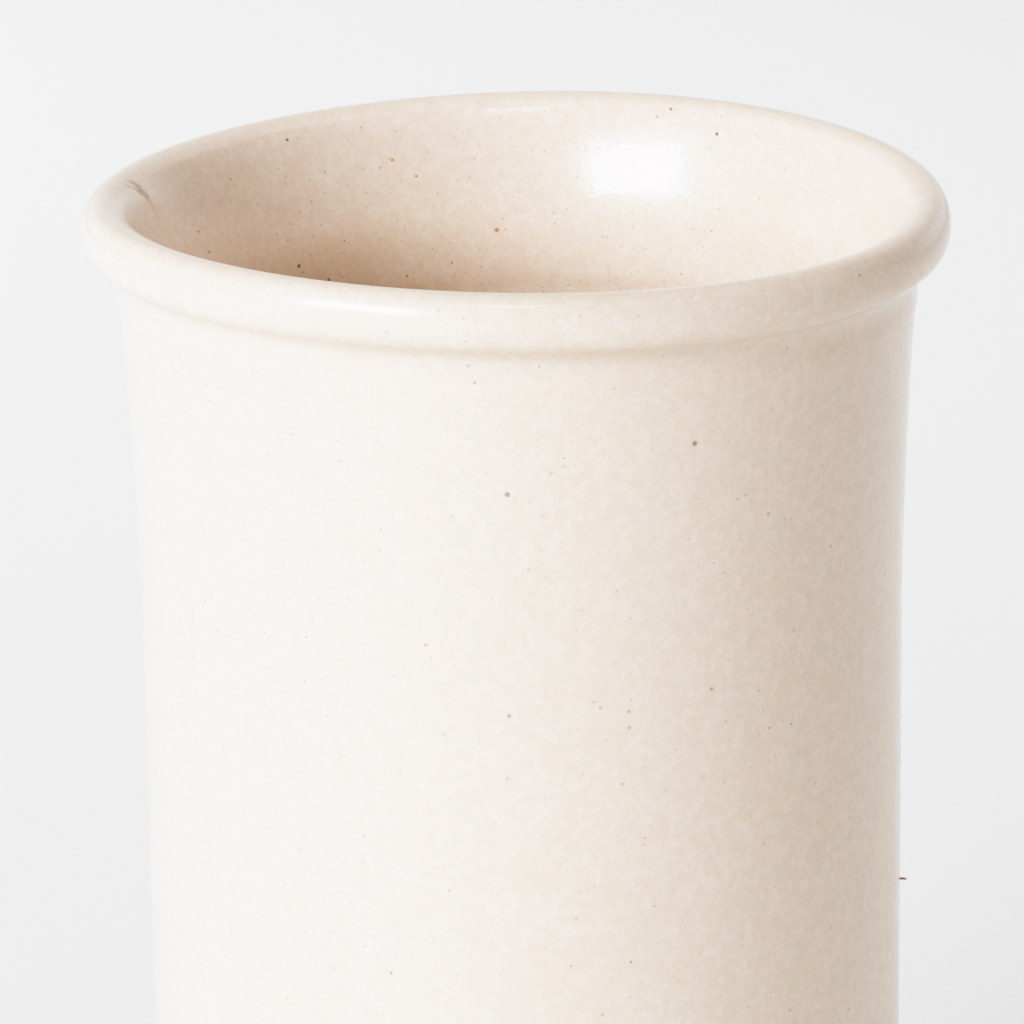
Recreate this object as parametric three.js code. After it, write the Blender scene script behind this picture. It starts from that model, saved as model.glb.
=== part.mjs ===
// A wheel-thrown stoneware vase: a straight cylinder with a rolled rim, a turned foot ring and two
// coats of glaze. Millimetres, +Z up, origin at the centre of the foot's underside.
// Sections are drawn with x as the radius and y as the height, and are turned around the Z axis.

import * as THREE from 'three';

// Driving dimensions. Radii are measured on the glazed surface unless they say clay.
const height = 170;
const rimRadius = 48;
const wallRadius = 43;
const boreRadius = 39;
const throatRadius = 38.5;
const shoulderRadius = 44.5;
const beadWidth = 4.8;
const beadHeight = 6.1;
const lipWidth = 3.4;
const glazeThickness = 0.5;
const gap = 0.3;

// Heights along the wall.
const glazeLine = 7;
const heelTop = 20;
const flareStart = height - 45;
const rimJoint = height - 25;
const lipFoot = height - 24;
const throatLevel = height - 16;
const neckHeight = height - 20;
const shoulderHeight = height - 10.5;

// Foot and floor.
const footClayRadius = 40.8;
const footRingWidth = 7.8;
const footRingHeight = 4.7;
const footChamfer = 0.8;
const floorLevel = 11;
const floorFillet = 5;

// Worked out from the dimensions above.
const beadRadius = rimRadius - beadWidth / 2;
const beadLevel = height - beadHeight / 2;
const clayDepth = glazeThickness + gap;
const glazeLineRadius = footClayRadius + clayDepth;
const floorUnderside = footRingHeight + gap;
const floorTop = floorLevel - clayDepth;

// Facets around the vase, and points on each curve of a section.
const facets = 48;
const curvePoints = 3;

const glaze = new THREE.MeshStandardMaterial({ color: '#e9e2d8', roughness: 0.25, metalness: 0 });
const clay = new THREE.MeshStandardMaterial({ color: '#b08d6c', roughness: 0.9, metalness: 0 });

// The dipped coat's shiny face: from the glaze line above the foot, up the wall and its flare, round the
// rolled rim, and down the sloping lip to a slight throat and the height where the rim joins the wall.
function dippedOutline() {
  const outline = new THREE.Path();
  outline.moveTo(glazeLineRadius, glazeLine);
  outline.quadraticCurveTo(wallRadius, glazeLine + 4, wallRadius, heelTop);
  outline.lineTo(wallRadius, flareStart);
  outline.quadraticCurveTo(wallRadius, neckHeight - 12, wallRadius + 0.7, neckHeight);
  outline.quadraticCurveTo(shoulderRadius - 0.45, neckHeight + 5.5, shoulderRadius, shoulderHeight);
  outline.quadraticCurveTo(shoulderRadius - 0.4, shoulderHeight + 3.7, beadRadius, height - beadHeight);
  outline.absellipse(beadRadius, beadLevel, beadWidth / 2, beadHeight / 2, -Math.PI / 2, 0);
  outline.absellipse(beadRadius, beadLevel, beadWidth / 2, beadHeight / 2, 0, Math.PI / 2);
  outline.absellipse(beadRadius, beadLevel, lipWidth, beadHeight / 2, Math.PI / 2, 0.75 * Math.PI);
  outline.bezierCurveTo(42.3, height - 1.7, throatRadius, throatLevel + 5.5, throatRadius, throatLevel);
  outline.quadraticCurveTo(throatRadius, lipFoot + 3, boreRadius, lipFoot);
  outline.lineTo(boreRadius, rimJoint);
  return outline.getPoints(curvePoints);
}

// The poured coat's shiny face: down the bore, round the corner and over the floor to its centre.
function pouredOutline() {
  const outline = new THREE.Path();
  outline.moveTo(boreRadius, rimJoint - gap);
  outline.lineTo(boreRadius, floorLevel + floorFillet);
  outline.absarc(boreRadius - floorFillet, floorLevel + floorFillet, floorFillet, 0, -Math.PI / 2, true);
  outline.lineTo(0, floorLevel);
  return outline.getPoints(curvePoints);
}

// An outline moved sideways, to the left of its direction of travel, which is into the clay.
function offset(outline, distance) {
  return outline.map((point, i) => {
    const before = outline[Math.max(i - 1, 0)];
    const after = outline[Math.min(i + 1, outline.length - 1)];
    const along = after.clone().sub(before).normalize();
    return new THREE.Vector2(point.x - along.y * distance, point.y + along.x * distance);
  });
}

// The stretch of an outline that lies between two heights.
function stretch(outline, low, high) {
  const kept = [];
  outline.forEach((point, i) => {
    if (point.y >= low && point.y <= high) kept.push(point);
    const next = outline[i + 1];
    if (!next) return;
    const levels = point.y < next.y ? [low, high] : [high, low];
    for (const level of levels) {
      const share = (level - point.y) / (next.y - point.y);
      if (share > 0 && share < 1) kept.push(point.clone().lerp(next, share));
    }
  });
  return kept;
}

// A solid of revolution. The section runs up the outside and down the inside; it either starts and
// ends on the axis or is closed into a ring here.
function turned(name, material, section) {
  const onAxis = section[0].x === 0;
  const profile = onAxis ? section : [...section, section[0].clone()];
  const geometry = new THREE.LatheGeometry(profile, facets);
  geometry.rotateX(Math.PI / 2);
  const mesh = new THREE.Mesh(geometry, material);
  mesh.name = name;
  return mesh;
}

// A rectangle turned around the axis, with its lower edges chamfered.
function footRing() {
  const inner = footClayRadius - footRingWidth;
  const section = [
    [inner + footChamfer, 0],
    [footClayRadius - footChamfer, 0],
    [footClayRadius, footChamfer],
    [footClayRadius, footRingHeight],
    [inner, footRingHeight],
    [inner, footChamfer],
  ];
  return turned('foot_ring', clay, section.map(([x, y]) => new THREE.Vector2(x, y)));
}

// The flat disc of clay that closes the bottom of the pot.
function baseDisc() {
  const section = [[0, floorUnderside], [footClayRadius, floorUnderside], [footClayRadius, floorTop], [0, floorTop]];
  return turned('base_disc', clay, section.map(([x, y]) => new THREE.Vector2(x, y)));
}

// The thrown cylinder of clay, between the back of the dipped coat and the back of the poured one.
function thrownWall() {
  const low = floorTop + gap;
  const high = rimJoint - gap;
  const outer = stretch(offset(dipped, clayDepth), low, high);
  const inner = stretch(offset(poured, clayDepth), low, high);
  return turned('thrown_wall', clay, [...outer, ...inner]);
}

// The clay of the rolled rim and its sloping lip, wholly inside the dipped coat.
function rolledRim() {
  return turned('rolled_rim', clay, stretch(offset(dipped, clayDepth), rimJoint, height));
}

// A coat of glaze, with its outline as the shiny face and its back towards the clay.
function coat(name, outline) {
  return turned(name, glaze, [...offset(outline, glazeThickness).reverse(), ...outline]);
}

const dipped = dippedOutline();
const poured = pouredOutline();

const vase = new THREE.Group();
vase.add(footRing());
vase.add(baseDisc());
vase.add(thrownWall());
vase.add(rolledRim());
vase.add(coat('glaze_dipped', dipped));
vase.add(coat('glaze_poured', poured));

export default vase;
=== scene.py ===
"""Looks for the stoneware vase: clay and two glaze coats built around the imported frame. Metres, +Z up."""

import math

import bmesh
import bpy
from mathutils import Matrix, Vector, noise


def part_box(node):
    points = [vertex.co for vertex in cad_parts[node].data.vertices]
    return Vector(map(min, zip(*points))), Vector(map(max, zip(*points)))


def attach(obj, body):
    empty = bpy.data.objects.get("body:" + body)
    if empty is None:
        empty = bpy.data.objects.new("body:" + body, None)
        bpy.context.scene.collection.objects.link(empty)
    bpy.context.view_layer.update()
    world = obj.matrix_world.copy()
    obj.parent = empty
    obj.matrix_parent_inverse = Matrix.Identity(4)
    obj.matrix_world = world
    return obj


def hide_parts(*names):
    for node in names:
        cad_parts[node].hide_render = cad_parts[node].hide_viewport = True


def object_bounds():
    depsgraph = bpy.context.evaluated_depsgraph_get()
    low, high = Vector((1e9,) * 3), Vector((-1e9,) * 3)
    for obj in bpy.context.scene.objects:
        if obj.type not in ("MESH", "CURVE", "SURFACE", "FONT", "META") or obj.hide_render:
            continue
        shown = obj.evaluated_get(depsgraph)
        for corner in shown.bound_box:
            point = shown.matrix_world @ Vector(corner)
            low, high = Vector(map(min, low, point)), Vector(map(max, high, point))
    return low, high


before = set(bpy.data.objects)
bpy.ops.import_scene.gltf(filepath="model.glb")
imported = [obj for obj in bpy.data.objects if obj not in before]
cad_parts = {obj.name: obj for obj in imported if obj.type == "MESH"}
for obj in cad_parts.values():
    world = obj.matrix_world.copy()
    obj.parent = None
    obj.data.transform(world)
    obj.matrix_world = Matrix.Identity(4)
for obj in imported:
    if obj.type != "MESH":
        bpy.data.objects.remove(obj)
cad_low, cad_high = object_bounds()

MM = 0.001
TAU = 2.0 * math.pi

# How far the rim stands out from the wall, and the space that the frame leaves behind each coat.
RIM_OVERHANG = 5.0 * MM
GAP = 0.3 * MM

# Sizes that the frame gives.
dipped_low, dipped_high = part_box("glaze_dipped")
_, poured_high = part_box("glaze_poured")
rim_low, rim_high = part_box("rolled_rim")
base_low, base_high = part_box("base_disc")
_, foot_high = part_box("foot_ring")

RIM_RADIUS = dipped_high.x
CLAY_DEPTH = RIM_RADIUS - rim_high.x
COAT_THICKNESS = CLAY_DEPTH - GAP
BORE_RADIUS = poured_high.x - COAT_THICKNESS
FOOT_RADIUS = foot_high.x
GLAZE_LINE = dipped_low.z
GLAZE_LINE_RADIUS = FOOT_RADIUS + CLAY_DEPTH
WALL_RADIUS = RIM_RADIUS - RIM_OVERHANG
SEAM = rim_low.z
INNER_FLOOR = base_high.z + CLAY_DEPTH
# How deep the back of each visible coat lies: 0.05 mm short of the clay.
COAT_BACK = CLAY_DEPTH - 0.05 * MM

# The rim, fitted to the outline of the real pot. A squareness of 2 is an ellipse.
BEAD_HALF_WIDTH = 2.32 * MM
BEAD_RADIUS = RIM_RADIUS - BEAD_HALF_WIDTH
BEAD_TOP_HEIGHT = 3.35 * MM
BEAD_LOWER_HEIGHT = 2.86 * MM
BEAD_SQUARENESS = 2.15
LIP_HALF_WIDTH = 3.4 * MM
LIP_SQUARENESS = 2.0
BEAD_START = math.radians(-50.0)
BEAD_END = math.radians(136.0)
BEAD_STEPS = 120
FLARE_DEPTH = 20.0 * MM
GROOVE_DEPTH = 8.0 * MM

# The inner floor and the foot, which are assumed: sizes that are usual on such a vase.
FLOOR_FILLET = 5.0 * MM
FOOT_RING_WIDTH = 7.8 * MM
FOOT_ROUNDING = 0.9 * MM

# The rim was never quite level: two high places, and a slight lean.
RIM_WAVE_SINE = 0.48 * MM
RIM_WAVE_COSINE = -0.30 * MM
RIM_LEAN = -0.16 * MM
WAVE_FADE = 42.0 * MM
HAND_DRIFT = 0.07 * MM

# The marks of the hand and the tools: how deep each is, and how far apart its rings are.
THROWING_DEPTH = 0.16 * MM
THROWING_PITCH = 6.5 * MM
FLOOR_RING_DEPTH = 0.32 * MM
FLOOR_RING_PITCH = 6.0 * MM
TURNING_DEPTH = 0.07 * MM
TURNING_PITCH = 1.9 * MM
FOOT_LINE_DEPTH = 0.04 * MM
FOOT_LINE_PITCH = 1.3 * MM

# The crumb on the wall: where it is, and half its size outwards, around and upwards.
CRUMB_ANGLE = math.radians(-4.0)
CRUMB_DEPTH = 81.15 * MM
CRUMB_SIZE = (0.55 * MM, 0.2 * MM, 0.13 * MM)

# The studio: how bright its room is, and how its camera answers light.
LIGHT_DISTANCE = 2.4
FLOOR_RADIUS = 3.0
ROOM_LIGHT = 0.07
HORIZON_LIGHT = 0.65
WALL_LIGHT = 1.0
CEILING_LIGHT = 0.4
TONE_TOP = 0.965
TONE_CONTRAST = (1.3, 1.385, 1.5)
TONE_RANGE = 8.0
TONE_POINTS = (0.1, 0.2, 0.3, 0.45, 0.6, 0.8, 1.0, 1.25, 1.5, 1.8, 2.2, 3.0)

# The camera: how far off and how high it is in rim radii, how it points, and its lens in millimetres.
CAMERA_DISTANCE = 12.0
CAMERA_RISE = 3.0117
CAMERA_PITCH = math.radians(17.54)
CAMERA_YAW = math.radians(-0.09)
CAMERA_ROLL = math.radians(-0.785)
LENS = 188.65

# Faces around each visible piece, and around each piece that the coats hide.
SEGMENTS = 288
HIDDEN_SEGMENTS = 96


def rim_wave(angle):
    """How far the rim stands above its mean level at an angle around the vase."""
    return (
        RIM_WAVE_SINE * math.sin(2.0 * angle)
        + RIM_WAVE_COSINE * math.cos(2.0 * angle)
        + RIM_LEAN * math.cos(angle)
    )


RIM_LEVEL = cad_high.z - max(rim_wave(TAU * i / 360) for i in range(360))


def smooth_step(low, high, value):
    """0 up to low and 1 from high on, with a smooth change between them; low may be the larger."""
    share = min(max((value - low) / (high - low), 0.0), 1.0)
    return share * share * (3.0 - 2.0 * share)


def hand_thrown(radius, angle, height):
    """Moves a point of the ideal turned form to where a hand on a wheel left it."""
    near_rim = smooth_step(RIM_LEVEL - WAVE_FADE, RIM_LEVEL - 4.0 * MM, height)
    drift = noise.noise((math.cos(angle) * 0.7, math.sin(angle) * 0.7, height * 14.0 + 3.0))
    radius += HAND_DRIFT * drift * smooth_step(0.0, 20.0 * MM, radius)
    return radius, angle, height + near_rim * rim_wave(angle)


# Profiles: lists of (radius, height) points.


def bezier(points, count):
    """Points along a cubic curve through its first and last control points."""
    first, second, third, last = (Vector(p) for p in points)
    made = []
    for i in range(count + 1):
        t = i / count
        s = 1.0 - t
        made.append(first * s ** 3 + second * 3 * s * s * t + third * 3 * s * t * t + last * t ** 3)
    return made


def spline(knots, spacing):
    """A smooth curve through knots, with tangents along each knot's two neighbours."""
    knots = [Vector(k) for k in knots]
    tangents = []
    for i in range(len(knots)):
        before = knots[max(i - 1, 0)]
        after = knots[min(i + 1, len(knots) - 1)]
        tangents.append((after - before).normalized())
    made = [knots[0]]
    for i in range(len(knots) - 1):
        reach = (knots[i + 1] - knots[i]).length / 3.0
        controls = (
            knots[i],
            knots[i] + tangents[i] * reach,
            knots[i + 1] - tangents[i + 1] * reach,
            knots[i + 1],
        )
        made += bezier(controls, max(2, round(reach * 3.0 / spacing)))[1:]
    return made


def bead_point(angle):
    """A point of the rolled bead's section: a little squarer outside, and elliptical towards the lip."""
    outside = math.cos(angle) > 0.0
    squareness = BEAD_SQUARENESS if outside else LIP_SQUARENESS
    half_width = BEAD_HALF_WIDTH if outside else LIP_HALF_WIDTH
    half_height = BEAD_TOP_HEIGHT if math.sin(angle) > 0.0 else BEAD_LOWER_HEIGHT

    def squared(wave):
        return math.copysign(abs(wave) ** (2.0 / squareness), wave)

    radius = BEAD_RADIUS + half_width * squared(math.cos(angle))
    height = RIM_LEVEL - BEAD_TOP_HEIGHT + half_height * squared(math.sin(angle))
    return Vector((radius, height))


def even(points, spacing):
    """The same line with points a given distance apart."""
    made = [points[0]]
    walked = 0.0
    for before, after in zip(points, points[1:]):
        step = (after - before).length
        while walked + step >= spacing:
            share = (spacing - walked) / step
            before = before.lerp(after, share)
            made.append(before.copy())
            step = (after - before).length
            walked = 0.0
        walked += step
    if (made[-1] - points[-1]).length < 0.4 * spacing and len(made) > 1:
        made.pop()
    made.append(points[-1])
    return made


def offset(points, distance):
    """The line moved to the left of its direction of travel, which is into the clay."""
    moved = []
    for i, point in enumerate(points):
        along = (points[min(i + 1, len(points) - 1)] - points[max(i - 1, 0)]).normalized()
        moved.append(point + Vector((-along.y, along.x)) * distance)
    return moved


def dipped_outline():
    """The dipped coat's shiny face, from the glaze line over the rim to the seam inside."""
    def below(depth, radius):
        return (radius * MM, RIM_LEVEL - depth * MM)

    heel = bezier(
        (
            (GLAZE_LINE_RADIUS, GLAZE_LINE + 0.5 * MM),
            (GLAZE_LINE_RADIUS + 0.6 * MM, GLAZE_LINE + 3.0 * MM),
            (WALL_RADIUS, GLAZE_LINE + 7.0 * MM),
            (WALL_RADIUS, GLAZE_LINE + 13.0 * MM),
        ),
        24,
    )
    wall = spline(
        (
            heel[-1],
            (WALL_RADIUS + 0.1 * MM, RIM_LEVEL - 110.0 * MM),
            below(91, 43.08),
            below(72, 43.03),
            below(57, 43.0),
            below(43, 42.98),
            below(31, 43.30),
            below(21.6, 43.63),
            below(14.6, 44.02),
            below(11.0, 44.38),
            below(9.3, 44.42),
            below(7.9, 44.72),
            below(6.9, 45.35),
            bead_point(BEAD_START),
            bead_point(BEAD_START + 0.12),
        ),
        0.3 * MM,
    )[:-1]
    bead_turn = (BEAD_END - BEAD_START) / BEAD_STEPS
    bead = [bead_point(BEAD_START + bead_turn * i) for i in range(BEAD_STEPS + 1)]
    lip = spline(
        (
            bead[-4],
            bead[-1],
            below(2.5, 42.3),
            below(5.0, 41.15),
            below(8.5, 39.85),
            below(12.0, 38.95),
            below(15.5, 38.55),
            below(20.0, 38.6),
            (BORE_RADIUS, SEAM + 2.0 * MM),
            (BORE_RADIUS, SEAM),
        ),
        0.3 * MM,
    )
    # The curve begins inside the bead to take its direction, and that stretch is left out.
    lip = [p for p in lip if p.y < bead[-1].y]
    flare = [p for p in wall if p.y > RIM_LEVEL - FLARE_DEPTH]
    straight = [p for p in wall if p.y <= RIM_LEVEL - FLARE_DEPTH]
    return (
        even(heel, 0.6 * MM)[:-1]
        + even(straight, 1.4 * MM)[:-1]
        + even(flare + bead, 0.26 * MM)[:-1]
        + even([bead[-1]] + lip, 0.45 * MM)
    )


def poured_outline():
    """The poured coat's shiny face, down the bore and over the floor to its centre."""
    corner_radius = BORE_RADIUS - FLOOR_FILLET
    corner_height = INNER_FLOOR + FLOOR_FILLET
    bore = [
        Vector((BORE_RADIUS + 0.12 * MM, SEAM + 1.0 * MM)),
        Vector((BORE_RADIUS + 0.10 * MM, SEAM - 0.5 * MM)),
        Vector((BORE_RADIUS, SEAM - 3.0 * MM)),
        Vector((BORE_RADIUS, corner_height)),
    ]
    corner = [
        Vector((corner_radius + FLOOR_FILLET * math.cos(a), corner_height - FLOOR_FILLET * math.sin(a)))
        for a in (0.5 * math.pi * i / 16 for i in range(17))
    ]
    floor = [corner[-1], Vector((0.0, INNER_FLOOR))]
    return even(bore, 1.0 * MM)[:-1] + even(corner, 0.6 * MM)[:-1] + even(floor, 0.6 * MM)


# Meshes.


def revolve(name, section, segments, shape):
    """A closed solid of revolution; shape(radius, angle, height, row) gives each point's place."""
    vertices = []
    rings = []
    for row, (radius, height) in enumerate(section):
        if radius < 1e-6:
            rings.append([len(vertices)])
            vertices.append(shape(0.0, 0.0, height, row))
            continue
        rings.append(list(range(len(vertices), len(vertices) + segments)))
        vertices += [shape(radius, TAU * i / segments, height, row) for i in range(segments)]
    on_axis = len(rings[0]) == 1
    pairs = list(zip(rings, rings[1:])) + ([] if on_axis else [(rings[-1], rings[0])])
    faces = []
    for lower, upper in pairs:
        for i in range(segments):
            j = (i + 1) % segments
            if len(lower) == 1:
                faces.append((lower[0], upper[j], upper[i]))
            elif len(upper) == 1:
                faces.append((lower[i], lower[j], upper[0]))
            else:
                faces.append((lower[i], lower[j], upper[j], upper[i]))
    mesh = bpy.data.meshes.new(name)
    mesh.from_pydata(vertices, [], faces)
    mesh.shade_smooth()
    piece = bpy.data.objects.new(name, mesh)
    bpy.context.scene.collection.objects.link(piece)
    return piece


def place(radius, angle, height):
    """The point in space for a place on the vase, with the hand's marks in it."""
    radius, angle, height = hand_thrown(radius, angle, height)
    return (radius * math.cos(angle), radius * math.sin(angle), height)


def plain_shape(radius, angle, height, row):
    """The shape of a piece with nothing of its own beyond the hand's marks."""
    return place(radius, angle, height)


def store(piece, name, value_at):
    """Stores a number at each point of a piece, for its material to read."""
    attribute = piece.data.attributes.new(name, "FLOAT", "POINT")
    attribute.data.foreach_set("value", [value_at(vertex.co) for vertex in piece.data.vertices])


def dipped_coat():
    """The coat that the vase was dipped in, from the glaze line over the rim to the seam inside."""
    front = dipped_outline()
    back = offset(front, COAT_BACK)
    back = [back[0]] + even(back[1:-1], 2.5 * MM) + [back[-1]]
    roll = [
        Vector((GLAZE_LINE_RADIUS - COAT_BACK, GLAZE_LINE)),
        Vector((GLAZE_LINE_RADIUS - 0.35 * MM, GLAZE_LINE - 0.02 * MM)),
        Vector((GLAZE_LINE_RADIUS - 0.08 * MM, GLAZE_LINE + 0.14 * MM)),
    ]
    end = front[-1]
    inner_edge = [
        Vector((end.x + 0.08 * MM, end.y - 0.3 * MM)),
        Vector((end.x + 0.35 * MM, end.y - 0.42 * MM)),
        Vector((end.x + COAT_BACK, end.y - 0.2 * MM)),
    ]
    section = roll + front + inner_edge + back[::-1][1:-1]

    def shape(radius, angle, height, row):
        low = 1.0 - smooth_step(GLAZE_LINE + 1.0 * MM, GLAZE_LINE + 6.0 * MM, height)
        drip = noise.noise((math.cos(angle) * 2.2, math.sin(angle) * 2.2, 7.0))
        drip += 0.4 * noise.noise((math.cos(angle) * 7.0, math.sin(angle) * 7.0, 2.0))
        return place(radius, angle, height + 0.7 * MM * drip * low)

    def depth_of(point):
        """How far a point is below the rim at its own angle."""
        return RIM_LEVEL - point.z + rim_wave(math.atan2(point.y, point.x))

    def pool(point):
        """Above 0 in the groove, where the glaze gathers, and below 0 on the crest, where it thins and
        where painted shade darkens the rim's turn into the interior.
        """
        depth = depth_of(point)
        outside = math.hypot(point.x, point.y) > WALL_RADIUS
        groove = math.exp(-((depth - GROOVE_DEPTH) / (2.2 * MM)) ** 2) if outside else 0.0
        crest = math.exp(-(depth / (1.1 * MM)) ** 2)
        return groove - crest

    def inside(point):
        """1 on the inner side, where the specks are thicker."""
        radius = math.hypot(point.x, point.y)
        if depth_of(point) > 3.3 * MM:
            return 1.0 if radius < RIM_RADIUS - 5.35 * MM else 0.0
        return 1.0 - smooth_step(RIM_RADIUS - 5.4 * MM, RIM_RADIUS - 2.8 * MM, radius)

    piece = revolve("glaze_dipped_coat", section, SEGMENTS, shape)
    store(piece, "glaze_pool", pool)
    store(piece, "glaze_inside", inside)
    return piece


def poured_coat():
    """The coat poured down the bore and over the floor, on the rings left by throwing."""
    front = poured_outline()
    back = [
        Vector((0.0, INNER_FLOOR - COAT_BACK)),
        Vector((BORE_RADIUS - FLOOR_FILLET, INNER_FLOOR - COAT_BACK)),
        Vector((BORE_RADIUS - 1.5 * MM, INNER_FLOOR + 1.5 * MM - COAT_BACK)),
        Vector((BORE_RADIUS + COAT_BACK, INNER_FLOOR + FLOOR_FILLET)),
        Vector((BORE_RADIUS + COAT_BACK, SEAM + 1.0 * MM)),
    ]
    section = back + front

    def shape(radius, angle, height, row):
        if row < len(back):
            return place(radius, angle, height)
        on_bore = smooth_step(INNER_FLOOR + 4.0 * MM, INNER_FLOOR + 16.0 * MM, height)
        on_bore *= 1.0 - smooth_step(SEAM - 30.0 * MM, SEAM - 6.0 * MM, height)
        radius += THROWING_DEPTH * on_bore * math.sin(TAU * height / THROWING_PITCH - angle)
        on_floor = 1.0 - smooth_step(BORE_RADIUS - 8.0 * MM, BORE_RADIUS - 5.0 * MM, radius)
        fade = smooth_step(0.0, 5.0 * MM, radius)
        height += FLOOR_RING_DEPTH * on_floor * fade * math.sin(TAU * radius / FLOOR_RING_PITCH - angle)
        return place(radius, angle, height)

    def pool(point):
        """Above 0 on the floor and in the corner round it, where the glaze gathers."""
        return 0.6 * (1.0 - smooth_step(0.0, 7.0 * MM, point.z - INNER_FLOOR))

    piece = revolve("glaze_poured_coat", section, SEGMENTS, shape)
    store(piece, "glaze_pool", pool)
    store(piece, "glaze_inside", lambda point: 1.0)
    return piece


def between(points, low, high):
    """The points of a line between two heights, with its ends cut level."""
    kept = [p for p in points if low < p.y < high]
    first = low if kept[0].y - low < high - kept[0].y else high
    last = low if kept[-1].y - low < high - kept[-1].y else high
    return [Vector((kept[0].x, first))] + kept + [Vector((kept[-1].x, last))]


def clay_wall():
    """The thrown cylinder of clay, between the two coats and above the base."""
    low = base_high.z + 0.1 * MM
    outer = between(offset(dipped_outline(), CLAY_DEPTH), low, SEAM)
    inner = between(offset(poured_outline(), CLAY_DEPTH), low, SEAM)
    outer = [p for i, p in enumerate(outer) if i % 3 == 0 or i == len(outer) - 1]
    inner = [p for i, p in enumerate(inner) if i % 3 == 0 or i == len(inner) - 1]
    return revolve("clay_wall", outer + inner, HIDDEN_SEGMENTS, plain_shape)


def clay_rim():
    """The clay of the rolled rim and its lip, wholly behind the dipped coat."""
    line = offset(dipped_outline(), CLAY_DEPTH)
    kept = [p for p in line if p.y > SEAM]
    section = [Vector((kept[0].x, SEAM))] + kept[1:-1:2] + [Vector((kept[-1].x, SEAM))]
    return revolve("clay_rim", section, HIDDEN_SEGMENTS, plain_shape)


def clay_base():
    """The disc that closes the pot, with the marks of the turning tool on its underside."""
    bottom = base_low.z
    top = base_high.z
    radius = FOOT_RADIUS
    under = even([Vector((0.0, bottom)), Vector((radius - 0.4 * MM, bottom))], 0.4 * MM)
    edge = even([Vector((radius, bottom + 0.4 * MM)), Vector((radius, top))], 0.5 * MM)
    section = under + edge + [Vector((radius - 6.0 * MM, top)), Vector((0.0, top))]

    def shape(radius, angle, height, row):
        if row < len(under):
            inside = 1.0 - smooth_step(FOOT_RADIUS - 10.0 * MM, FOOT_RADIUS - 7.5 * MM, radius)
            turning = TURNING_DEPTH * math.sin(TAU * radius / TURNING_PITCH - angle)
            hollow = 0.5 * MM * smooth_step(32.0 * MM, 20.0 * MM, radius)
            height += inside * (turning + hollow)
        return place(radius, angle, height)

    return revolve("clay_base", section, SEGMENTS, shape)


def clay_foot_ring():
    """The bare ring that the vase stands on, its corners worn round."""
    inner = FOOT_RADIUS - FOOT_RING_WIDTH
    top = base_low.z - 0.02 * MM
    section = []
    corners = (
        (inner + FOOT_ROUNDING, FOOT_ROUNDING, math.pi),
        (FOOT_RADIUS - FOOT_ROUNDING, FOOT_ROUNDING, 1.5 * math.pi),
    )
    for centre, level, start in corners:
        for i in range(9):
            turn = start + 0.5 * math.pi * i / 8
            radius = centre + FOOT_ROUNDING * math.cos(turn)
            section.append(Vector((radius, level + FOOT_ROUNDING * math.sin(turn))))
    section = even(section, 0.3 * MM)
    outside = even([section[-1], Vector((FOOT_RADIUS, top))], 0.4 * MM)
    inside = even([Vector((inner, top)), section[0]], 0.4 * MM)
    section = section + outside[1:] + inside[:-1]

    def shape(radius, angle, height, row):
        lines = FOOT_LINE_DEPTH * math.sin(TAU * height / FOOT_LINE_PITCH - angle)
        outer = smooth_step(FOOT_RADIUS - 0.3 * MM, FOOT_RADIUS, radius)
        return place(radius - outer * abs(lines), angle, height)

    return revolve("clay_foot_ring", section, SEGMENTS, shape)


def glaze_crumb():
    """A sliver of clay that stuck to the wall in the kiln and stands out from it."""
    mesh = bpy.data.meshes.new("glaze_crumb")
    body = bmesh.new()
    bmesh.ops.create_icosphere(body, subdivisions=3, radius=1.0)
    for vertex in body.verts:
        vertex.co *= 1.0 + 0.45 * noise.noise(vertex.co * 1.7 + Vector((4.0, 1.0, 2.0)))
        vertex.co.z -= 0.5 * vertex.co.x ** 2
    body.to_mesh(mesh)
    body.free()
    mesh.shade_smooth()
    turn = Matrix.Rotation(CRUMB_ANGLE, 4, "Z")
    place_on_wall = Matrix.Translation((WALL_RADIUS + 0.3 * MM, 0.0, RIM_LEVEL - CRUMB_DEPTH))
    size = Matrix.Diagonal((*CRUMB_SIZE, 1.0))
    mesh.transform(turn @ place_on_wall @ size)
    piece = bpy.data.objects.new("glaze_crumb", mesh)
    bpy.context.scene.collection.objects.link(piece)
    return piece


# Materials.

# The colours of iron specks under the glaze, and of the clay where the glaze tore.
BROWN = (0.17, 0.105, 0.07, 1.0)
MAUVE = (0.30, 0.20, 0.17, 1.0)
RUST = (0.50, 0.22, 0.09, 1.0)
SLATE = (0.16, 0.20, 0.24, 1.0)
BARE_CLAY = (0.36, 0.20, 0.07, 1.0)

# The solid middle of a large speck, as a share of its reach.
SPECK_CORE = 0.35


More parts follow.
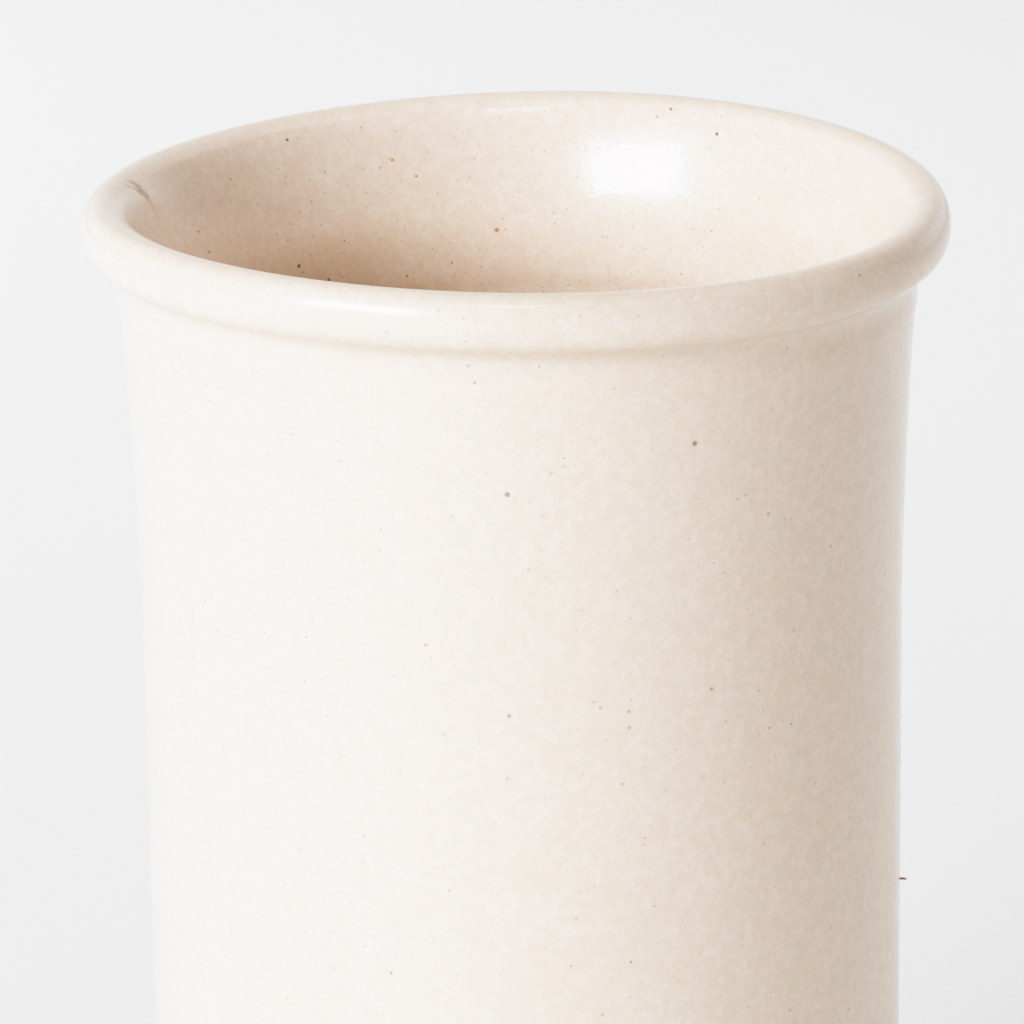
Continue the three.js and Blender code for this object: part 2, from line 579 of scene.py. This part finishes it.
class Nodes:
    """A material's node tree, with short ways to add and join nodes."""

    def __init__(self, name):
        self.material = bpy.data.materials.new(name)
        self.material.use_nodes = True
        self.tree = self.material.node_tree
        self.shader = self.tree.nodes["Principled BSDF"]

    def add(self, kind, **settings):
        """A new node, with its settings."""
        node = self.tree.nodes.new("ShaderNode" + kind)
        for key, value in settings.items():
            setattr(node, key, value)
        return node

    def join(self, source, target):
        self.tree.links.new(source, target)

    def fill(self, socket, value):
        """Joins another node's output to a socket, or sets the socket to a constant."""
        if isinstance(value, bpy.types.NodeSocket):
            self.join(value, socket)
        else:
            socket.default_value = value

    def math(self, operation, first, second=0.0, third=0.0):
        node = self.add("Math", operation=operation)
        for socket, value in zip(node.inputs, (first, second, third)):
            self.fill(socket, value)
        return node.outputs[0]

    def step(self, value, low, high, first=0.0, last=1.0):
        """A smooth change from first to last as value goes from low to high."""
        node = self.add("MapRange", interpolation_type="SMOOTHSTEP")
        for socket, entry in zip(node.inputs, (value, low, high, first, last)):
            self.fill(socket, entry)
        return node.outputs[0]

    def noise(self, place, scale, detail=2.0, roughness=0.5):
        node = self.add("TexNoise")
        self.join(place, node.inputs["Vector"])
        node.inputs["Scale"].default_value = scale
        node.inputs["Detail"].default_value = detail
        node.inputs["Roughness"].default_value = roughness
        return node.outputs[0]

    def mix(self, factor, first, second):
        """A blend of two colours. The Mix node's colour sockets are 6 and 7 in, and 2 out."""
        node = self.add("Mix", data_type="RGBA")
        self.fill(node.inputs["Factor"], factor)
        self.fill(node.inputs[6], first)
        self.fill(node.inputs[7], second)
        return node.outputs[2]

    def millimetres(self, shift=(0.0, 0.0, 0.0)):
        """The object's own coordinates in millimetres."""
        place = self.add("TexCoord").outputs["Object"]
        mapping = self.add("Mapping")
        self.join(place, mapping.inputs["Vector"])
        mapping.inputs["Location"].default_value = shift
        mapping.inputs["Scale"].default_value = (1000.0, 1000.0, 1000.0)
        return mapping.outputs[0]

    def specks(self, place, cell, share, size, softness):
        """Round specks: how much of a speck covers each point, and a random number for each speck."""
        cells = self.add("TexVoronoi", voronoi_dimensions="3D", feature="F1")
        self.join(place, cells.inputs["Vector"])
        cells.inputs["Scale"].default_value = 1.0 / cell
        split = self.add("SeparateColor")
        self.join(cells.outputs["Color"], split.inputs[0])
        chosen = self.math("LESS_THAN", split.outputs[0], share)
        radius = self.math("MULTIPLY_ADD", split.outputs[1], size * 0.6 / cell, size * 0.5 / cell)
        inner = self.math("MULTIPLY", radius, 1.0 - softness)
        cover = self.step(cells.outputs["Distance"], inner, radius, 1.0, 0.0)
        return self.math("MULTIPLY", cover, chosen), split.outputs[2]

    def near(self, place, centre, reach):
        """1 at a point given in metres, falling to 0 at a reach in millimetres from it."""
        gap = self.add("VectorMath", operation="DISTANCE")
        self.join(place, gap.inputs[0])
        gap.inputs[1].default_value = Vector(centre) / MM
        return self.step(gap.outputs["Value"], SPECK_CORE * reach, reach, 1.0, 0.0)

    def stroke(self, place, start, end, reach):
        """1 along a short line between two points in metres, falling to 0 at a reach in millimetres."""
        start = Vector(start) / MM
        line = Vector(end) / MM - start
        from_start = self.add("VectorMath", operation="SUBTRACT")
        self.join(place, from_start.inputs[0])
        from_start.inputs[1].default_value = start
        along = self.add("VectorMath", operation="DOT_PRODUCT")
        self.join(from_start.outputs[0], along.inputs[0])
        along.inputs[1].default_value = line / line.length_squared
        share = self.add("Clamp")
        self.join(along.outputs["Value"], share.inputs[0])
        foot = self.add("VectorMath", operation="SCALE")
        foot.inputs[0].default_value = line
        self.join(share.outputs[0], foot.inputs["Scale"])
        gap = self.add("VectorMath", operation="DISTANCE")
        self.join(from_start.outputs[0], gap.inputs[0])
        self.join(foot.outputs[0], gap.inputs[1])
        return self.step(gap.outputs["Value"], 0.0, reach, 1.0, 0.0)


def coat_point(angle, depth, inside=False):
    """A point on the dipped coat, at an angle in degrees and a depth in millimetres below the rim."""
    height = RIM_LEVEL - depth * MM
    outline = dipped_outline()
    if inside:
        outline.reverse()
    for lower, upper in zip(outline, outline[1:]):
        if lower.y <= height <= upper.y:
            share = (height - lower.y) / (upper.y - lower.y)
            return place(lower.x + share * (upper.x - lower.x), math.radians(angle), height)


def large_specks(n, mm, colour):
    """The iron specks that the eye finds first, each an angle, a depth, a reach, a tint and a strength.

    Angles are in degrees, depths below the rim and reaches in millimetres. The last three outside, on
    the sides and back, are assumed; the others were placed by measurement, to match the pot.
    """
    outside = (
        (-91.7, 22.0, 0.42, BROWN, 0.75),
        (-65.3, 17.5, 0.42, BROWN, 0.75),
        (-91.9, 46.5, 0.34, MAUVE, 0.75),
        (-74.8, 48.5, 0.30, SLATE, 0.55),
        (-62.1, 45.5, 0.28, BROWN, 0.6),
        (-52.8, 27.0, 0.30, MAUVE, 0.55),
        (-109.7, 76.5, 0.26, BROWN, 0.7),
        (-99.3, 24.5, 0.38, MAUVE, 0.3),
        (-96.6, 8.0, 0.36, MAUVE, 0.45),
        (-92.3, 53.5, 0.26, BROWN, 0.4),
        (-79.0, 46.0, 0.26, RUST, 0.6),
        (-79.1, 81.0, 0.26, RUST, 0.6),
        (-39.7, 33.0, 0.28, MAUVE, 0.5),
        (-144.6, 32.5, 0.28, RUST, 0.6),
        (38.0, 30.0, 0.40, BROWN, 0.7),
        (96.0, 64.0, 0.42, BROWN, 0.7),
        (171.0, 41.0, 0.36, MAUVE, 0.7),
    )
    inside = (
        (128.5, 1.9, 0.30, BROWN, 0.85),
        (110.8, 5.9, 0.30, RUST, 0.85),
        (107.0, 8.0, 0.24, BROWN, 0.7),
        (93.4, 14.9, 0.38, RUST, 0.95),
        (131.2, 16.0, 0.32, BROWN, 0.95),
        (124.9, 18.5, 0.28, BROWN, 0.8),
        (101.5, 18.5, 0.28, RUST, 0.7),
        (64.9, 1.0, 0.30, BROWN, 0.8),
        (67.0, 1.9, 0.26, SLATE, 0.6),
        (55.9, 3.0, 0.32, BROWN, 0.95),
        (155.2, 8.4, 0.26, BROWN, 0.8),
        (153.6, 11.0, 0.26, BROWN, 0.8),
    )
    places = [(False, speck) for speck in outside] + [(True, speck) for speck in inside]
    for is_inside, (angle, depth, reach, tint, strength) in places:
        cover = n.near(mm, coat_point(angle, depth, is_inside), reach)
        colour = n.mix(n.math("MULTIPLY", cover, strength), colour, tint)
    return colour


def bare_mark(n, mm, colour):
    """Where the coat tore inside the lip and the clay shows: three strokes that meet, and a hair crack."""
    def at(angle, depth):
        return coat_point(angle, depth, inside=True)

    ragged = n.math("MULTIPLY_ADD", n.noise(mm, 4.0, 3.0), 1.6, 0.1)
    for start, end, reach, strength in (
        (at(168.9, 0.5), at(168.0, 1.3), 0.85, 0.8),
        (at(171.3, 0.6), at(169.4, 1.5), 0.6, 0.55),
        (at(169.0, 1.4), at(167.5, 2.3), 1.15, 1.0),
        (at(167.5, 2.4), at(167.5, 3.7), 0.36, 0.4),
        (at(167.5, 3.7), at(167.8, 5.1), 0.26, 0.3),
    ):
        cover = n.math("MULTIPLY", n.stroke(mm, start, end, reach), ragged)
        colour = n.mix(n.math("MULTIPLY", cover, strength), colour, BARE_CLAY)
    return colour


def glaze_material(name):
    """Cream stoneware glaze, mottled, with iron specks that show through it."""
    n = Nodes(name)
    mm = n.millimetres()

    cream = (0.80, 0.641, 0.541, 1.0)
    pale = (0.865, 0.716, 0.618, 1.0)
    pink = (0.80, 0.596, 0.518, 1.0)
    straw = (0.785, 0.648, 0.500, 1.0)
    tan = (0.56, 0.376, 0.243, 1.0)
    warm = (0.74, 0.564, 0.433, 1.0)
    white = (0.93, 0.90, 0.86, 1.0)

    clouds = n.step(n.noise(mm, 0.85, 4.0, 0.7), 0.38, 0.62)
    colour = n.mix(clouds, cream, pale)
    colour = n.mix(n.step(n.noise(mm, 0.30, 3.0, 0.6), 0.5, 0.75, 0.0, 0.5), colour, pink)
    colour = n.mix(n.step(n.noise(mm, 1.9, 2.0, 0.6), 0.5, 0.75, 0.0, 0.8), colour, pink)
    shifted = n.millimetres((31.0, 17.0, 5.0))
    colour = n.mix(n.step(n.noise(shifted, 0.24, 3.0, 0.6), 0.5, 0.75, 0.0, 0.5), colour, straw)
    colour = n.mix(n.step(n.noise(shifted, 1.7, 2.0, 0.6), 0.5, 0.75, 0.0, 0.8), colour, straw)

    pool = n.add("Attribute", attribute_name="glaze_pool").outputs["Fac"]
    inside = n.add("Attribute", attribute_name="glaze_inside").outputs["Fac"]
    # Tan on the crest: partly thinner glaze, partly painted shade for the dark edge where the rim turns
    # into the interior.
    broken = n.math("MULTIPLY_ADD", n.noise(mm, 0.7, 3.0), 0.7, -0.35)
    thin_glaze_and_shade = n.math("ADD", n.math("MULTIPLY", pool, -1.0), broken)
    colour = n.mix(n.step(thin_glaze_and_shade, 0.45, 1.2, 0.0, 0.25), colour, tan)
    colour = n.mix(n.step(pool, 0.1, 1.1, 0.0, 0.05), colour, warm)

    # Each layer: the space between specks, how many of the places are taken, a speck's size and
    # softness, its strength outside, how much stronger it is inside, and a shift that sets it apart.
    layers = (
        (0.9, 0.40, 0.16, 0.8, 0.34, 0.0, (0.0, 0.0, 0.0)),
        (1.3, 0.45, 0.19, 0.7, 0.58, 0.0, (3.3, 1.7, 9.1)),
        (2.6, 0.50, 0.24, 0.6, 0.62, 0.0, (8.2, 4.9, 2.2)),
        (0.9, 0.60, 0.18, 0.8, 0.0, 0.5, (5.5, 7.7, 1.3)),
        (1.5, 0.60, 0.21, 0.7, 0.0, 0.6, (1.9, 6.1, 4.6)),
    )
    for cell, share, size, softness, strength, inside_strength, shift in layers:
        cover, luck = n.specks(n.millimetres(shift), cell, share, size, softness)
        tint = n.mix(n.math("GREATER_THAN", luck, 0.80), n.mix(luck, BROWN, MAUVE), RUST)
        tint = n.mix(n.math("GREATER_THAN", luck, 0.95), tint, SLATE)
        weight = n.math("MULTIPLY_ADD", inside, inside_strength, strength)
        colour = n.mix(n.math("MULTIPLY", cover, weight), colour, tint)
    # Painted glints: small white specks, stronger inside, stand in for the sparkle of light off tiny bumps
    # in the glaze.
    cover, _ = n.specks(n.millimetres((2.4, 8.8, 6.3)), 0.85, 0.5, 0.13, 0.7)
    painted_glints = n.math("MULTIPLY", cover, n.math("MULTIPLY_ADD", inside, 0.4, 0.35))
    colour = n.mix(painted_glints, colour, white)
    colour = large_specks(n, mm, colour)
    colour = bare_mark(n, mm, colour)
    n.join(colour, n.shader.inputs["Base Color"])

    n.shader.inputs["IOR"].default_value = 1.5
    rough = n.step(n.noise(mm, 0.8, 3.0), 0.3, 0.7, 0.32, 0.38)
    n.join(rough, n.shader.inputs["Roughness"])
    n.shader.inputs["Coat Weight"].default_value = 0.7
    n.shader.inputs["Coat Roughness"].default_value = 0.06
    waves = n.math("MULTIPLY", n.noise(mm, 0.5, 2.0), 0.035)
    peel = n.math("MULTIPLY_ADD", n.noise(mm, 2.0, 3.0), 0.020, waves)
    bump = n.add("Bump")
    bump.inputs["Distance"].default_value = MM
    n.join(peel, bump.inputs["Height"])
    n.join(bump.outputs[0], n.shader.inputs["Coat Normal"])
    return n.material


def clay_material():
    """Buff stoneware, toasted by the kiln, with sand and iron grog in it."""
    n = Nodes("buff_stoneware")
    mm = n.millimetres()
    buff = (0.52, 0.42, 0.32, 1.0)
    toast = (0.43, 0.30, 0.205, 1.0)
    colour = n.mix(n.step(n.noise(mm, 0.12, 4.0, 0.6), 0.35, 0.65), buff, toast)
    sand = (0.64, 0.54, 0.43, 1.0)
    iron = (0.12, 0.07, 0.045, 1.0)
    grog = (0.62, 0.52, 0.40, 1.0)
    colour = n.mix(n.step(n.noise(mm, 2.6, 3.0, 0.7), 0.45, 0.75, 0.0, 0.35), colour, sand)
    cover, luck = n.specks(mm, 1.6, 0.5, 0.28, 0.4)
    colour = n.mix(n.math("MULTIPLY", cover, 0.8), colour, n.mix(luck, iron, grog))
    n.join(colour, n.shader.inputs["Base Color"])
    n.join(n.step(n.noise(mm, 1.2, 3.0), 0.3, 0.7, 0.78, 0.92), n.shader.inputs["Roughness"])
    grit = n.math("MULTIPLY_ADD", n.noise(mm, 3.2, 4.0, 0.65), 0.16, n.math("MULTIPLY", cover, 0.05))
    bump = n.add("Bump")
    bump.inputs["Distance"].default_value = MM
    n.join(grit, bump.inputs["Height"])
    n.join(bump.outputs[0], n.shader.inputs["Normal"])
    return n.material


def crumb_material():
    """The crumb's brown, darker than the glaze around it."""
    n = Nodes("crumb_glaze")
    mm = n.millimetres()
    colour = n.mix(n.noise(mm, 4.0, 2.0), (0.25, 0.17, 0.10, 1.0), (0.55, 0.42, 0.30, 1.0))
    n.join(colour, n.shader.inputs["Base Color"])
    n.shader.inputs["Roughness"].default_value = 0.45
    return n.material


# Studio.


def floor():
    """A wide pale floor: a fan of faces in the middle with rings of faces round it."""
    rings = 10
    count = 64
    vertices = [(0.0, 0.0, 0.0)]
    faces = [(0, 1 + i, 1 + (i + 1) % count) for i in range(count)]
    for ring in range(rings):
        radius = FLOOR_RADIUS * (ring + 1) / rings
        for i in range(count):
            angle = TAU * i / count
            vertices.append((radius * math.cos(angle), radius * math.sin(angle), 0.0))
    for ring in range(1, rings):
        inner = 1 + (ring - 1) * count
        outer = inner + count
        for i in range(count):
            j = (i + 1) % count
            faces.append((inner + i, outer + i, outer + j, inner + j))
    mesh = bpy.data.meshes.new("studio_floor")
    mesh.from_pydata(vertices, [], faces)
    piece = bpy.data.objects.new("studio_floor", mesh)
    bpy.context.scene.collection.objects.link(piece)
    n = Nodes("studio_paper")
    n.shader.inputs["Base Color"].default_value = (0.78, 0.762, 0.736, 1.0)
    n.shader.inputs["Roughness"].default_value = 0.9
    n.shader.inputs["Specular IOR Level"].default_value = 0.1
    mesh.materials.append(n.material)


def area_light(name, place, aim, width, height, radiance, mirrored=True):
    """A rectangular light; one that isn't mirrored lights a surface but doesn't show in its gloss."""
    data = bpy.data.lights.new(name, "AREA")
    data.shape = "RECTANGLE"
    data.size = width
    data.size_y = height
    data.energy = radiance * math.pi * width * height
    light = bpy.data.objects.new(name, data)
    light.location = place
    light.visible_glossy = mirrored
    light.rotation_euler = (place - aim).to_track_quat("Z", "Y").to_euler()
    bpy.context.scene.collection.objects.link(light)


def softbox(name, azimuth, elevation, span, rise, radiance, mirrored=True):
    """A soft light far off; azimuth counts from the camera, leftwards, and all angles are in degrees."""
    side = math.radians(azimuth)
    lift = math.radians(elevation)
    aim = Vector((0.0, 0.0, RIM_LEVEL - 50.0 * MM))
    away = Vector((-math.sin(side) * math.cos(lift), -math.cos(side) * math.cos(lift), math.sin(lift)))
    width = 2.0 * LIGHT_DISTANCE * math.tan(math.radians(span) / 2.0)
    height = 2.0 * LIGHT_DISTANCE * math.tan(math.radians(rise) / 2.0)
    area_light(name, aim + away * LIGHT_DISTANCE, aim, width, height, radiance, mirrored)


def studio_air():
    """The dim room: pale low down all round, with a pale wall behind the vase and a pale ceiling."""
    world = bpy.data.worlds.new("studio_air")
    world.use_nodes = True
    tree = world.node_tree
    where = tree.nodes.new("ShaderNodeSeparateXYZ")
    tree.links.new(tree.nodes.new("ShaderNodeTexCoord").outputs["Generated"], where.inputs[0])
    strength = ROOM_LIGHT
    parts = (
        ("Y", 0.5, 0.8, WALL_LIGHT),
        ("Z", 0.7, 0.9, CEILING_LIGHT),
        ("Z", 0.32, 0.12, HORIZON_LIGHT),
    )
    for axis, low, high, extra in parts:
        lit = tree.nodes.new("ShaderNodeMapRange")
        lit.interpolation_type = "SMOOTHSTEP"
        tree.links.new(where.outputs[axis], lit.inputs[0])
        lit.inputs[1].default_value = low
        lit.inputs[2].default_value = high
        lit.inputs[3].default_value = 0.0
        lit.inputs[4].default_value = extra
        total = tree.nodes.new("ShaderNodeMath")
        tree.links.new(lit.outputs[0], total.inputs[0])
        if isinstance(strength, float):
            total.inputs[1].default_value = strength
        else:
            tree.links.new(strength, total.inputs[1])
        strength = total.outputs[0]
    tree.links.new(strength, tree.nodes["Background"].inputs["Strength"])
    tree.nodes["Background"].inputs["Color"].default_value = (1.0, 1.0, 1.0, 1.0)
    bpy.context.scene.world = world


def studio():
    """The room, four softboxes on the vase, and two lights on the floor behind it."""
    studio_air()
    softboxes = (
        ("key_softbox", 41.2, 21.8, 29.0, 16.5, 41.0, True),
        ("side_softbox", 62.0, 15.0, 20.0, 20.0, 15.0, False),
        ("overhead", 3.0, 57.0, 14.0, 6.0, 11.0, True),
        ("right_fill", -105.0, 31.0, 80.0, 30.0, 1.75, False),
    )
    for name, azimuth, elevation, span, rise, radiance, mirrored in softboxes:
        softbox(name, azimuth, elevation, span, rise, radiance, mirrored)
    floor_lights = (
        ("backdrop_light", (0.0, 0.5, 1.2), (0.0, 1.34, 0.0), 1.4, 0.5, 7.8),
        ("backdrop_left", (-0.6, 0.9, 0.7), (-0.6, 0.9, 0.0), 0.6, 0.6, 6.4),
    )
    for name, place, aim, width, height, radiance in floor_lights:
        area_light(name, Vector(place), Vector(aim), width, height, radiance, mirrored=False)


def tone(light, contrast):
    """The film's answer to light: a gentle foot, and a shoulder just below white."""
    return TONE_TOP * (1.0 - math.exp(-(light ** contrast)))


def film():
    """Gives the view a curve for each colour; the three differ in contrast only."""
    view = bpy.context.scene.view_settings
    view.view_transform = "Standard"
    view.use_curve_mapping = True
    mapping = view.curve_mapping
    mapping.white_level = (TONE_RANGE, TONE_RANGE, TONE_RANGE)
    for curve, contrast in zip(mapping.curves, TONE_CONTRAST):
        curve.points[0].location = (0.0, 0.0)
        curve.points[1].location = (1.0, 1.0)
        for light in TONE_POINTS:
            curve.points.new(light / TONE_RANGE, tone(light, contrast))
    mapping.update()


def camera():
    """The main view: from in front, above, through a long lens, rolled a little."""
    ahead = Vector((math.sin(CAMERA_YAW), math.cos(CAMERA_YAW), 0.0))
    forward = ahead * math.cos(CAMERA_PITCH) - Vector((0.0, 0.0, math.sin(CAMERA_PITCH)))
    level_right = Vector((math.cos(CAMERA_YAW), -math.sin(CAMERA_YAW), 0.0))
    level_up = level_right.cross(forward)
    right = level_right * math.cos(CAMERA_ROLL) + level_up * math.sin(CAMERA_ROLL)
    up = level_up * math.cos(CAMERA_ROLL) - level_right * math.sin(CAMERA_ROLL)
    data = bpy.data.cameras.new("camera")
    data.sensor_width = 36.0
    data.lens = LENS
    data.clip_end = 50.0
    viewer = bpy.data.objects.new("camera", data)
    place = Vector((0.0, -CAMERA_DISTANCE * RIM_RADIUS, RIM_LEVEL + CAMERA_RISE * RIM_RADIUS))
    turn = Matrix((right, up, -forward)).transposed().to_4x4()
    viewer.matrix_world = Matrix.Translation(place) @ turn
    bpy.context.scene.collection.objects.link(viewer)
    bpy.context.scene.camera = viewer


camera()
floor()
studio()
film()

glaze = glaze_material("cream_glaze")
clay = clay_material()
pieces = (
    (dipped_coat(), glaze, "glaze", "glaze_dipped"),
    (poured_coat(), glaze, "glaze", "glaze_poured"),
    (clay_wall(), clay, "clay", "thrown_wall"),
    (clay_rim(), clay, "clay", "rolled_rim"),
    (clay_base(), clay, "clay", "base_disc"),
    (clay_foot_ring(), clay, "clay", "foot_ring"),
    (glaze_crumb(), crumb_material(), "glaze", None),
)
for piece, material, slot, node in pieces:
    piece.data.materials.append(material)
    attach(piece, "root")
    if node:
        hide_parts(node)
